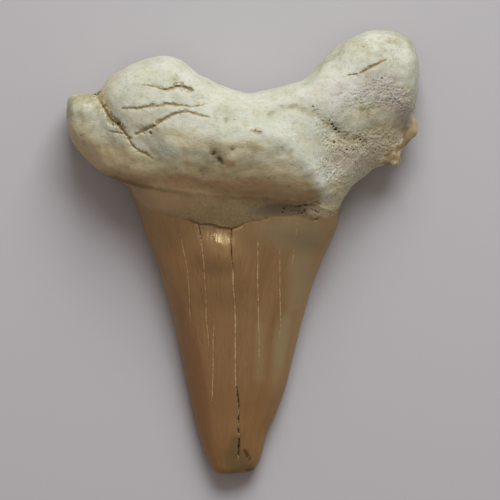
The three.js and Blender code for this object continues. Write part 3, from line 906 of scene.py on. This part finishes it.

# %% [markdown]
# ## Paint the stains, and some light and shade, as masks
# Colour in the ground seeped in unevenly: iron browned the lower root, clay greyed its broken
# right end. The stains could be painted on an image, but soft masks kept as numbers on the
# vertices need no image, and the materials read them by name. A few masks are painted light and
# shade: shade above the lip, in the crease below the crest and on the stub's shaded side, and light
# at the step under the enamel's edge. The stub's stain and its painted shade run down its break in
# tongues, so a noise shakes the points before they are compared with its strokes.

# %% Stains of the root, with painted shade in a few
ROOT_MASK_STROKES = {  # each path is a list of (x, y, reach, strength)
    "iron": [
        [(-15.0, 8.2, 2.2, 0.7), (-12.5, 7.4, 2.6, 0.9), (-8.0, 7.0, 3.4, 1.0), (-2.0, 6.4, 3.8, 1.0),
         (3.0, 6.2, 3.8, 1.0), (6.5, 6.4, 3.0, 1.0), (8.0, 6.2, 1.6, 0.9)],
        [(-19.6, 13.5, 1.6, 0.5), (-18.2, 10.6, 2.4, 0.8), (-15.0, 8.2, 2.4, 0.8)],
        [(-16.4, 11.4, 1.8, 0.4), (-14.4, 10.2, 2.2, 0.55), (-12.0, 9.4, 2.0, 0.4)],
    ],
    "tan": [
        [(-19.0, 13.5, 3.4, 0.7), (-16.5, 11.2, 3.0, 0.9), (-13.0, 10.0, 3.6, 1.0), (-10.4, 9.4, 3.2, 0.8),
         (-8.0, 8.8, 3.2, 0.8), (-5.0, 9.0, 3.6, 0.9), (0.0, 8.8, 4.0, 1.0), (4.6, 8.0, 4.0, 1.0),
         (7.4, 7.0, 2.2, 0.8)],
        [(-13.0, 14.4, 3.4, 0.3), (-2.4, 11.6, 1.8, 0.7), (1.6, 11.4, 2.2, 0.6)],
        [(-16.0, 18.2, 1.2, 0.7), (-15.0, 19.6, 1.2, 0.6), (-13.5, 21.0, 1.0, 0.4)],
        [(-15.8, 17.2, 1.3, 0.9), (-15.0, 15.8, 1.1, 0.7)],
        [(12.0, 11.5, 4.6, 0.7), (15.8, 12.0, 4.6, 0.8), (17.5, 15.0, 3.6, 0.6)],
        [(9.2, 4.6, 1.4, 1.0), (10.0, 6.0, 2.0, 0.8), (11.4, 8.2, 2.0, 0.6)],
        [(13.0, 15.4, 1.6, 0.6), (16.2, 16.2, 1.8, 0.6)],
    ],
    "clay": [
        # this path is painted shade in the crease below the crest
        [(-0.2, 11.9, 0.7, 0.5), (1.4, 11.7, 1.0, 0.9), (2.6, 11.3, 0.8, 0.4), (3.8, 11.5, 1.0, 0.8),
         (5.2, 11.3, 1.0, 0.7)],
        [(-4.0, 12.2, 0.9, 0.3), (-3.3, 11.4, 1.0, 0.8), (-2.4, 10.0, 0.9, 0.8)],
        [(-1.6, 11.2, 0.7, 0.6), (-0.8, 11.7, 0.6, 0.6)],
        [(4.2, 16.4, 0.6, 0.4), (6.4, 16.2, 0.7, 0.6), (8.4, 15.4, 0.7, 0.5), (10.2, 13.9, 0.8, 0.8),
         (12.2, 12.5, 0.9, 0.6), (13.8, 12.6, 0.8, 0.6)],
        [(-14.8, 15.2, 0.9, 0.6), (-13.6, 14.2, 0.8, 0.6)],
        [(7.0, 7.6, 0.8, 0.6), (8.4, 6.2, 0.7, 0.6)],
        [(9.0, 21.0, 2.4, 0.4), (12.6, 23.2, 2.8, 0.5), (15.0, 22.8, 2.6, 0.45), (17.0, 24.0, 2.0, 0.4)],
    ],
    "bloom": [
        [(7.6, 17.6, 2.0, 0.5), (9.6, 18.4, 2.6, 0.8), (12.4, 18.6, 2.6, 0.9)],
        [(7.6, 9.6, 0.9, 0.4), (8.8, 7.6, 0.9, 0.7), (9.8, 5.8, 0.9, 0.6)],
    ],
    "rust": [
        [(-13.0, 8.6, 1.4, 0.4), (-8.0, 8.2, 1.4, 0.6), (-2.0, 7.8, 1.4, 0.6), (3.0, 7.6, 1.3, 0.4)],
        [(-2.0, 9.6, 1.0, 0.8), (-1.2, 9.9, 0.9, 0.8)],
        [(-6.4, 11.4, 1.2, 0.6), (-6.0, 9.4, 1.2, 0.5)],
    ],
    "mauve": [
        [(8.6, 17.6, 2.6, 0.4), (11.4, 16.4, 2.4, 0.4)],
        [(15.0, 19.4, 3.4, 0.6), (17.0, 17.4, 3.6, 0.7), (18.4, 16.0, 2.4, 0.7)],
        [(11.5, 10.4, 3.0, 0.6), (15.0, 11.4, 3.0, 0.5)],
    ],
    "grey": [
        [(15.2, 16.6, 1.6, 0.4), (17.4, 16.6, 2.2, 0.5), (18.8, 15.4, 2.2, 0.8), (17.6, 14.4, 1.6, 0.7)],
        [(10.4, 14.0, 0.9, 0.6), (11.6, 12.9, 1.1, 0.6)],
        [(0.4, 4.4, 1.1, 0.5), (2.4, 4.7, 1.2, 0.8), (4.2, 4.7, 1.3, 1.0), (6.2, 4.7, 1.2, 1.0),
         (7.6, 4.4, 0.9, 0.5)],
    ],
    "ochre": [
        [(5.6, 16.4, 1.2, 0.3), (6.6, 16.1, 1.0, 0.3)],
        [(13.6, 16.1, 1.2, 0.7), (14.0, 15.8, 1.0, 0.6)],
        [(-19.2, 17.0, 1.0, 0.8), (-17.6, 17.4, 1.1, 0.9), (-16.6, 16.6, 0.9, 0.7),
         (-16.0, 15.4, 0.7, 0.5)],
        [(-19.2, 15.8, 2.0, 0.55), (-17.2, 15.6, 2.0, 0.55)],
        [(1.0, 13.5, 0.5, 0.5), (2.0, 13.4, 0.5, 0.6)],
    ],
    "porous": POROUS_ZONE,
    "rim": [[(15.8, 25.0, 0.8, 0.4), (18.2, 24.4, 1.2, 0.7), (19.6, 22.4, 0.7, 0.4)]],
}
STUB_MASK_STROKES = {
    "stub": [
        [(19.5, 14.5, 1.2, 1.0), (19.3, 13.4, 1.3, 1.0), (18.7, 12.8, 0.9, 0.8)],
        [(17.6, 11.6, 0.9, 0.8), (17.1, 10.6, 1.4, 1.0), (16.2, 10.0, 1.0, 0.8)],
    ],
    # painted shade on the stub's shaded side
    "stub_painted_shade": [
        [(18.8, 12.5, 0.9, 0.7), (18.0, 11.7, 1.0, 0.8), (17.1, 10.6, 1.2, 0.8), (16.0, 10.0, 0.9, 0.7)],
    ],
}
print(f"{len(ROOT_MASK_STROKES)} stains on the root, and {len(STUB_MASK_STROKES)} on its stub")

# %% Stains of the neck and the crown, and painted light at the enamel's edge
CROWN_MASK_STROKES = {
    "neck_tan": [
        [(-13.4, 6.8, 2.2, 1.0), (-10.4, 5.8, 2.4, 1.0), (-7.6, 5.4, 2.0, 0.6), (-5.6, 5.0, 1.0, 0.2)],
    ],
    "seam_painted_light": [  # painted light: a lighter colour over the shade of the step at the enamel's upper edge
        [(-5.2, 3.1, 0.4, 0.7), (-3.5, 3.05, 0.5, 1.0), (-2.6, 2.7, 0.5, 1.0), (-1.3, 2.55, 0.5, 1.0),
         (-0.2, 2.85, 0.4, 0.7)],
    ],
    "olive": [
        [(2.6, 2.4, 2.4, 0.5), (4.2, 2.0, 3.0, 0.8), (6.0, 1.8, 3.4, 1.0), (7.8, 2.2, 2.6, 1.0)],
        [(6.8, 0.6, 2.8, 0.9), (6.4, -2.4, 2.4, 0.7), (5.8, -6.0, 2.0, 0.5)],
        [(5.0, -7.6, 1.6, 0.6), (4.4, -10.0, 1.6, 0.8), (4.0, -13.4, 1.3, 0.6), (3.6, -16.0, 1.0, 0.3)],
        [(2.0, -8.6, 1.2, 0.4), (1.9, -14.0, 1.2, 0.4)],
    ],
    "red": [
        [(-8.4, -3.0, 1.6, 0.3), (-6.6, -8.0, 2.0, 0.8), (-5.4, -13.0, 2.0, 1.0), (-4.6, -18.0, 1.6, 0.9),
         (-3.6, -22.0, 1.0, 0.6)],
    ],
    "spall": [[(-0.9, -21.2, 0.8, 0.8), (-0.9, -22.6, 1.9, 1.0), (-0.7, -24.2, 2.0, 0.9)]],
    "polish": [  # no stain: the swelling below the neck, where the enamel is still glossy
        [(-3.5, 2.6, 0.7, 1.0), (-3.1, 1.7, 1.1, 1.0), (-2.6, 0.7, 0.9, 1.0), (-2.3, 0.2, 0.5, 0.6)],
        [(-4.4, 2.4, 0.7, 0.7), (-4.2, 1.2, 0.7, 0.6)],
        [(-1.6, 2.2, 0.5, 0.8), (-1.5, 1.0, 0.5, 0.7)],
    ],
    "chip": [
        [(0.25, -22.3, 0.35, 0.9), (0.55, -22.9, 0.38, 1.0), (0.85, -23.4, 0.26, 0.9)],
        [(0.4, -24.6, 0.3, 0.9), (1.2, -24.5, 0.3, 0.9)],
        [(-9.1, 0.4, 0.22, 1.0)],
    ],
}
print(f"{len(CROWN_MASK_STROKES)} stains on the neck and the crown")

# %% Masks from the shape
HOLLOW_ROUNDS = 24
FULL_HOLLOW = 0.05  # millimetres below its neighbourhood at which a point counts as a full hollow
HOLLOW_ABOVE_LIP = (1.0, 2.5)  # millimetres above the lip where hollows start to hold dirt, and are full
HOLLOW_SIDES = (0.3, 0.6)  # dirt doesn't gather where the normal points up less than this
LIP_SHADE = 1.8  # millimetres above the lip where the painted shade on the torus's lower face begins
LIP_SHADE_END = (8.8, 7.6)  # across, where the painted shade gives way to the porous knob
FLANK = (6.0, 0.5)  # heights between which the side of the root turns darker and browner towards the ground


def keep_on_mesh(piece, name, values):
    """Keeps one number per vertex as an attribute that a material can read."""
    attribute = piece.data.attributes.new(name, "FLOAT", "POINT")
    attribute.data.foreach_set("value", values.astype(np.float32))


def hollows(piece, rounds):
    """How far each vertex lies below its smoothed surroundings: + in a hollow, - on a crest."""
    count = len(piece.data.vertices)
    ends = np.empty(len(piece.data.edges) * 2, np.int32)
    piece.data.edges.foreach_get("vertices", ends)
    first, second = ends.reshape(-1, 2).T
    neighbours = np.bincount(ends, minlength=count)
    height = points_of(piece)[:, 2]
    smoothed = height.copy()
    for _ in range(rounds):
        total = np.bincount(first, smoothed[second], count) + np.bincount(second, smoothed[first], count)
        smoothed = total / neighbours
    return smoothed - height


points = points_of(tooth)
enamel_distance, lip_distance = edges_of(tooth)
rows = np.array(CROWN_RINGS)[::-1]
crown_left = np.interp(points[:, 1], rows[:, 1], rows[:, 0])
crown_right = np.interp(points[:, 1], rows[:, 3], rows[:, 2])
dirt_place = smooth_step(*HOLLOW_ABOVE_LIP, lip_distance) * facing_up(tooth, *HOLLOW_SIDES)
masks = {
    "across": 2 * (points[:, 0] - crown_left) / (crown_right - crown_left) - 1,
    "enamel_edge": enamel_distance,
    "lip_painted_shade": smooth_step(LIP_SHADE, 0.0, lip_distance) * smooth_step(*LIP_SHADE_END, points[:, 0]),
    "flank": smooth_step(*FLANK, points[:, 2]),
    "hollow": hollows(tooth, HOLLOW_ROUNDS) / FULL_HOLLOW * dirt_place,
    "crack": crack_share,
    "enamel_crack": enamel_share,
    "open_crack": open_share,
    "seam": seam_share,
    "pit": pit_share,
}
for name, values in masks.items():
    keep_on_mesh(tooth, name, values)
print(f"{len(masks)} masks from the shape kept")

# %% Masks from the strokes
STAINED_SIDES = (-0.5, 0.2)  # how far up a normal must point for a stain to begin, and to be full
STUB_LEVELS = (0.8, 4.6, 5.6, 7.2)  # heights where the stub's stain and its painted shade begin, are full, fade, have gone
STUB_TONGUES = 1.1  # millimetres from one tongue of the stub's stain to the next
STUB_TONGUE_REACH = 1.0

tongues = np.column_stack([ragged(points, STUB_TONGUES, seed) for seed in (61, 62, 63)])
frayed = points + STUB_TONGUE_REACH * tongues
stub_levels = smooth_step(*STUB_LEVELS[:2], frayed[:, 2]) * smooth_step(*STUB_LEVELS[:1:-1], frayed[:, 2])
upper_side = facing_up(tooth, *STAINED_SIDES)
strokes_above = ROOT_MASK_STROKES | CROWN_MASK_STROKES
# most of these masks are stains; a few are painted light and shade, named so
stains = {name: painted(points, strokes) * upper_side for name, strokes in strokes_above.items()}
stains |= {name: painted(frayed, strokes) * stub_levels for name, strokes in STUB_MASK_STROKES.items()}
for name, cover in stains.items():
    keep_on_mesh(tooth, name, cover)
print(f"{len(stains)} masks from the strokes kept")

# %% [markdown]
# ## Three finishes
# The root, the neck and the crown are three tissues, so they are three materials. They share a
# few habits: every pattern is laid out in real millimetres on the piece itself, so that its size
# can be checked with a ruler, and a stain is a soft mask whose edge a noise pattern breaks up.

# %% Material helpers
def millimetres(material):
    """The place on the piece in millimetres, so that a pattern's scale is one over its real size."""
    place = add_node(material, "ShaderNodeTexCoord").outputs["Object"]
    scaled = add_node(material, "ShaderNodeMapping", {"Vector": place, "Scale": (1 / MM,) * 3})
    return scaled.outputs["Vector"]


def stain(material, below, cover, limits, shade, pattern=0.0, spread=0.0, blend="MIX"):
    """Lays a stain over the colour below. Its limits are the cover at which it begins, the cover at
    which it is full, and its strength there. The cover is a socket or the name of a mask that was
    kept on the mesh. The pattern shifts it by up to half the spread each way, so the edge is ragged."""
    if isinstance(cover, str):
        cover = add_node(material, "ShaderNodeAttribute", attribute_name=cover).outputs["Fac"]
    shifted = add_node(
        material, "ShaderNodeMath", {0: pattern, 1: spread, 2: cover}, operation="MULTIPLY_ADD",
    )
    begins, full, strength = limits
    amount = add_node(
        material, "ShaderNodeMapRange",
        {"Value": shifted.outputs[0], "From Min": begins + spread / 2, "From Max": full + spread / 2,
         "To Max": strength},
        interpolation_type="SMOOTHSTEP",
    )
    mixed = add_node(
        material, "ShaderNodeMix", {0: amount.outputs["Result"], 6: below, 7: colour(shade)},
        data_type="RGBA", blend_type=blend,
    )
    return mixed.outputs[2]


def stain_all(material, below, rows):
    """Lays stains one over the other. Each row is what stain() takes after the colour below."""
    for row in rows:
        below = stain(material, below, *row)
    return below


def link_to_shader(material, shader, sockets):
    """Links each socket to the shader's input of that name."""
    for name, socket in sockets.items():
        material.node_tree.links.new(socket, shader.inputs[name])
    print(f"{material.name}: {len(material.node_tree.nodes)} nodes")


# %% [markdown]
# ## Root: phosphatised dentine
# Dentine that has turned to phosphate is chalky and cream, quite matt, with a grain of about a
# quarter of a millimetre. Its index of refraction is near 1.6, but the rough pores scatter the
# light, so its specular level is low and its roughness high. The pores of such a root are a tenth
# to a quarter of a millimetre apart, and are drawn a little coarser here, so that they show.

# %% Root patterns
ROOT_PATTERNS = (2.4, 0.8, 0.22)  # millimetres across its clouds, its blotches and its grain
PORE_SPACING = 0.42  # millimetres

root_material, root_shader = new_material("phosphatised_dentine")
place = millimetres(root_material)
clouds, blotches, grain = (
    add_node(
        root_material, "ShaderNodeTexNoise",
        {"Vector": place, "Scale": 1 / size, "Detail": 4.0, "Roughness": 0.6},
    ).outputs["Fac"]
    for size in ROOT_PATTERNS
)
pore_cells = add_node(root_material, "ShaderNodeTexVoronoi", {"Vector": place, "Scale": 1 / PORE_SPACING})
sponge = add_node(
    root_material, "ShaderNodeMath", {0: 1.0, 1: pore_cells.outputs["Distance"]}, operation="SUBTRACT",
).outputs[0]
print(f"root patterns of {ROOT_PATTERNS} mm")

# %% Root stains
cream = stain_all(root_material, colour("D9DCCB"), [
    # mask or pattern, (begins, full, strength), colour, what breaks its edge up, how far
    (clouds, (0.35, 0.65, 1.0), "CED1BA"),
    ("flank", (0.0, 1.0, 0.8), "B8A680", blotches, 1.0),
    ("tan", (0.0, 0.95, 1.0), "D6CCA4", blotches, 0.7),
    ("iron", (0.0, 0.95, 1.0), "CDB48C", blotches, 0.7),
    ("rust", (0.2, 0.95, 0.6), "CA9A6E", blotches, 1.2),
    ("bloom", (0.0, 0.95, 0.9), "DEDDD2", blotches, 0.5),
    ("mauve", (0.0, 0.95, 0.8), "C8C0B6", blotches, 0.7),
    # clay grey, and below the crest painted shade
    ("clay", (0.1, 0.95, 0.8), "A8A07A", blotches, 1.3),
    ("grey", (0.1, 0.95, 0.7), "A89E92", blotches, 0.9),
    ("ochre", (0.15, 0.85, 0.9), "B0AA82", blotches, 1.3),
    ("rim", (0.2, 0.95, 0.8), "A6A284", blotches, 0.7),
    ("stub", (0.1, 0.9, 1.0), "D2BE96", blotches, 1.0),
    # painted shade on the stub's shaded side
    ("stub_painted_shade", (0.1, 0.9, 0.8), "947C56", blotches, 1.0),
])
MOTTLES = [  # size across and along in millimetres, (begins, full, strength), tint
    (1.6, 1.1, (0.48, 0.72, 0.4), "E8E2C4"),
    (0.7, 0.5, (0.52, 0.72, 0.4), "E0D8B8"),
    (0.8, 0.22, (0.60, 0.72, 0.35), "C0B490"),
    (0.3, 0.3, (0.62, 0.74, 0.5), "B4A888"),
]
for across_size, along_size, limits, shade in MOTTLES:
    stretched = add_node(
        root_material, "ShaderNodeMapping",
        {"Vector": place, "Scale": (1 / across_size, 1 / along_size, 1 / along_size)},
    )
    mottle = add_node(
        root_material, "ShaderNodeTexNoise",
        {"Vector": stretched.outputs["Vector"], "Scale": 1.0, "Detail": 3.0},
    )
    cream = stain(root_material, cream, mottle.outputs["Fac"], limits, shade, blend="MULTIPLY")
print(f"{len(MOTTLES)} mottles")

# %% Dirt and painted shade of the root, and its surface
cream = stain_all(root_material, cream, [
    # painted shade on the torus's lower face, darkest at the lip
    ("lip_painted_shade", (0.05, 0.8, 0.75), "A88C64", blotches, 0.4),
    ("lip_painted_shade", (0.75, 1.0, 1.0), "8C7654", blotches, 0.3),
    ("porous", (1.5, 2.2, 0.9), "6C5E48", sponge, 3.0),
    ("enamel_edge", (1.0, 0.0, 0.9), "8C7048", blotches, 0.8),
    ("hollow", (0.3, 2.0, 0.6), "8E7C5A", blotches, 0.5),
    ("pit", (0.15, 0.9, 0.75), "5E4E3A"),
    ("crack", (0.02, 0.35, 0.8), "C4B690"),
    ("crack", (0.5, 0.95, 0.7), "8A7A58", blotches, 0.6),
])
BLOTCH_HEIGHT = 1.5  # the blotches' part in the relief, against the grain's
ROOT_RELIEF = 0.10  # millimetres
grainy = add_node(
    root_material, "ShaderNodeMath", {0: blotches, 1: BLOTCH_HEIGHT, 2: grain}, operation="MULTIPLY_ADD",
).outputs[0]
bump = add_node(
    root_material, "ShaderNodeBump", {"Height": grainy, "Strength": 0.5, "Distance": ROOT_RELIEF * MM},
)
root_shader.inputs["Roughness"].default_value = 0.85
root_shader.inputs["Specular IOR Level"].default_value = 0.3
link_to_shader(root_material, root_shader, {"Base Color": cream, "Normal": bump.outputs["Normal"]})

# %% [markdown]
# ## Neck: worn bourlette
# The band between root and crown is dentine under the last film of enamel: denser than the root,
# dull brown, and only half matt.

# %% Neck material
NECK_PATTERNS = (2.0, 0.25)  # millimetres across its clouds and its grain
NECK_RELIEF = 0.03  # millimetres

neck_material, neck_shader = new_material("worn_bourlette")
place = millimetres(neck_material)
clouds, grain = (
    add_node(
        neck_material, "ShaderNodeTexNoise",
        {"Vector": place, "Scale": 1 / size, "Detail": 4.0, "Roughness": 0.6},
    ).outputs["Fac"]
    for size in NECK_PATTERNS
)
brown = stain_all(neck_material, colour("8E7852"), [
    (clouds, (0.35, 0.65, 1.0), "7E6944"),
    (grain, (0.52, 0.72, 0.45), "685638"),
    (grain, (0.46, 0.28, 0.45), "A28E66"),
    ("neck_tan", (0.0, 0.95, 1.0), "AA8D66", clouds, 0.4),
    # painted light over the shade of the step at the enamel's edge
    ("seam_painted_light", (0.1, 0.9, 0.35), "B89A70", clouds, 0.4),
    ("tan", (0.1, 0.9, 0.5), "9C865C", clouds, 0.4),
    ("grey", (0.1, 0.9, 0.9), "64553F", clouds, 0.6),
    ("porous", (0.3, 0.9, 0.8), "A89C80", clouds, 1.4),
    ("pit", (0.1, 0.9, 0.8), "3E3226"),
    ("crack", (0.1, 0.8, 0.9), "3A2A1E"),
    ("seam", (0.1, 0.8, 0.6), "5C3620"),
])
bump = add_node(
    neck_material, "ShaderNodeBump", {"Height": grain, "Strength": 0.4, "Distance": NECK_RELIEF * MM},
)
neck_shader.inputs["Roughness"].default_value = 0.62
link_to_shader(neck_material, neck_shader, {"Base Color": brown, "Normal": bump.outputs["Normal"]})

# %% [markdown]
# ## Crown: enameloid
# Shark enameloid is glassy and hard, and this one has browned right through. Its colour runs from
# reddish at the left cutting edge through olive to amber at the right one, in fine streaks that
# follow the fibres down to the tip. Light glances off it in one broken highlight below the neck,
# because the surface is rippled along the same fibres. The rest was dulled in the ground. Old
# cracks are filled with pale clay. The real fibres are finer than a hair, and the streaks and
# ripples are drawn as coarse as they need to be to show.

# %% Crown patterns
STREAKS_TO_EDGE = 5.0  # from the crown's middle, so a streak is about 2 mm wide at its base
STREAK_LENGTH = 14  # millimetres
RIPPLES_IN_STREAK = 8.0
CLOUD_SIZE = 4.0  # millimetres
FLECK_SIZE = 0.45  # millimetres: the crumbs of clay in a crack

crown_material, crown_shader = new_material("enameloid")
place = millimetres(crown_material)
across = add_node(crown_material, "ShaderNodeAttribute", attribute_name="across").outputs["Fac"]
along = add_node(crown_material, "ShaderNodeSeparateXYZ", {"Vector": place}).outputs["Y"]
fibre_across, fibre_along = (
    add_node(crown_material, "ShaderNodeMath", {0: way, 1: scale}, operation="MULTIPLY").outputs[0]
    for way, scale in ((across, STREAKS_TO_EDGE), (along, 1 / STREAK_LENGTH))
)
fibres = add_node(crown_material, "ShaderNodeCombineXYZ", {"X": fibre_across, "Y": fibre_along})
streaks, ripples = (
    add_node(
        crown_material, "ShaderNodeTexNoise",
        {"Vector": fibres.outputs["Vector"], "Scale": scale, "Detail": 4.0, "Roughness": 0.65},
    ).outputs["Fac"]
    for scale in (1.0, RIPPLES_IN_STREAK)
)
clouds, flecks = (
    add_node(
        crown_material, "ShaderNodeTexNoise", {"Vector": place, "Scale": 1 / size, "Detail": 3.0},
    ).outputs["Fac"]
    for size in (CLOUD_SIZE, FLECK_SIZE)
)
print(f"streaks {STREAK_LENGTH} mm long, {RIPPLES_IN_STREAK:.0f} ripples in each")

# %% Crown bands
CROWN_BANDS = [  # share of the way from the left edge to the right one, colour; the lighter ends at both cutting edges are painted light
    (0.00, "A87C4A"), (0.08, "A2784A"), (0.20, "9C764F"), (0.35, "96724F"), (0.58, "94724E"),
    (0.74, "93724D"), (0.87, "98784F"), (0.96, "A4824C"), (1.00, "AC8646"),
]

ramp_place = add_node(
    crown_material, "ShaderNodeMapRange", {"Value": across, "From Min": -1.0, "From Max": 1.0},
)
ramp = add_node(crown_material, "ShaderNodeValToRGB", {"Fac": ramp_place.outputs["Result"]})
elements = ramp.color_ramp.elements
for index, (share, shade) in enumerate(CROWN_BANDS):
    element = elements[index] if index < 2 else elements.new(share)  # a new ramp has two elements
    element.position = share
    element.color = colour(shade)
print(f"{len(elements)} bands across the crown")

# %% Crown stains
brown = stain_all(crown_material, ramp.outputs["Color"], [
    (streaks, (0.4, 0.7, 0.45), "7A5434"),
    (clouds, (0.4, 0.7, 0.3), "987A4E"),
    ("neck_tan", (0.3, 1.0, 0.5), "A0825C"),
    ("enamel_edge", (-13.0, -21.0, 0.45), "8C6032", streaks, 3.0),
    ("red", (0.0, 1.0, 0.75), "845A3C", streaks, 0.5),
    ("enamel_edge", (-4.0, -0.3, 0.5), "8E7650", streaks, 1.5),
    # painted light over the shade of the step at the enamel's edge
    ("seam_painted_light", (0.1, 0.9, 0.9), "C4A478"),
    (ripples, (0.46, 0.72, 0.3), "6E4E30"),
    ("olive", (0.0, 1.0, 0.8), "A0906C", ripples, 0.9),
    ("spall", (0.1, 0.9, 0.8), "6E5C3C", clouds, 0.4),
    ("chip", (0.1, 0.8, 0.9), "45301E"),
    ("enamel_crack", (0.2, 0.9, 0.6), "6A4A2C"),
    ("enamel_crack", (0.3, 0.8, 0.85), "D0B48A", flecks, 1.2),
    ("open_crack", (0.1, 0.7, 1.0), "33261A"),
    ("seam", (0.2, 0.9, 0.5), "6A4026"),
])
print("enameloid stained")

# %% Gloss and relief of the crown
RIPPLE_GLOSS = 0.8  # how much the ripples break the gloss up
GLOSS_RANGE = (0.4, 1.3)  # polish and ripples together, from dull to glossy
DULL, GLOSSY = 0.52, 0.15  # roughness
RIPPLE_HEIGHT = 0.6  # the ripples' part in the relief, against the streaks'
CROWN_RELIEF = 0.10  # millimetres

polish = add_node(crown_material, "ShaderNodeAttribute", attribute_name="polish").outputs["Fac"]
gloss, rippled = (
    add_node(
        crown_material, "ShaderNodeMath", {0: ripples, 1: part, 2: rest}, operation="MULTIPLY_ADD",
    ).outputs[0]
    for part, rest in ((RIPPLE_GLOSS, polish), (RIPPLE_HEIGHT, streaks))
)
roughness = add_node(
    crown_material, "ShaderNodeMapRange",
    {"Value": gloss, "From Min": GLOSS_RANGE[0], "From Max": GLOSS_RANGE[1],
     "To Min": DULL, "To Max": GLOSSY},
)
bump = add_node(
    crown_material, "ShaderNodeBump",
    {"Height": rippled, "Strength": 0.8, "Distance": CROWN_RELIEF * MM},
)
crown_shader.inputs["IOR"].default_value = 1.6
crown_shader.inputs["Specular IOR Level"].default_value = 0.8
crown_shader.inputs["Specular Tint"].default_value = colour("FFE4B0")
link_to_shader(
    crown_material, crown_shader,
    {"Base Color": brown, "Roughness": roughness.outputs["Result"], "Normal": bump.outputs["Normal"]},
)

# %% [markdown]
# ## Give each face its tissue
# A face belongs to the crown below the enamel's edge, to the neck up to the lip, and to the root
# above it. The mean of its corners' distances decides.

# %% Assign the materials
def face_means(piece, values):
    """The mean of a vertex value over each face."""
    corners = np.empty(len(piece.data.loops), np.int32)
    piece.data.loops.foreach_get("vertex_index", corners)
    starts = np.empty(len(piece.data.polygons), np.int32)
    piece.data.polygons.foreach_get("loop_start", starts)
    totals = np.empty(len(piece.data.polygons), np.int32)
    piece.data.polygons.foreach_get("loop_total", totals)
    return np.add.reduceat(values[corners], starts) / totals


tooth.data.materials.clear()
for material in (root_material, neck_material, crown_material):
    tooth.data.materials.append(material)
above_enamel = face_means(tooth, enamel_distance) > 0
above_lip = face_means(tooth, lip_distance) > 0
root_slot, neck_slot, crown_slot = range(3)
slots = np.where(above_enamel, np.where(above_lip, root_slot, neck_slot), crown_slot).astype(np.int32)
tooth.data.polygons.foreach_set("material_index", slots)
tooth.data.update()
make_active(tooth)
bpy.ops.object.shade_smooth()
print("faces of root, neck and crown:", np.bincount(slots))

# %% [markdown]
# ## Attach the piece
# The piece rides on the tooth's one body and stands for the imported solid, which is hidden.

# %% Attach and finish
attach(tooth, "root")
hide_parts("tooth")
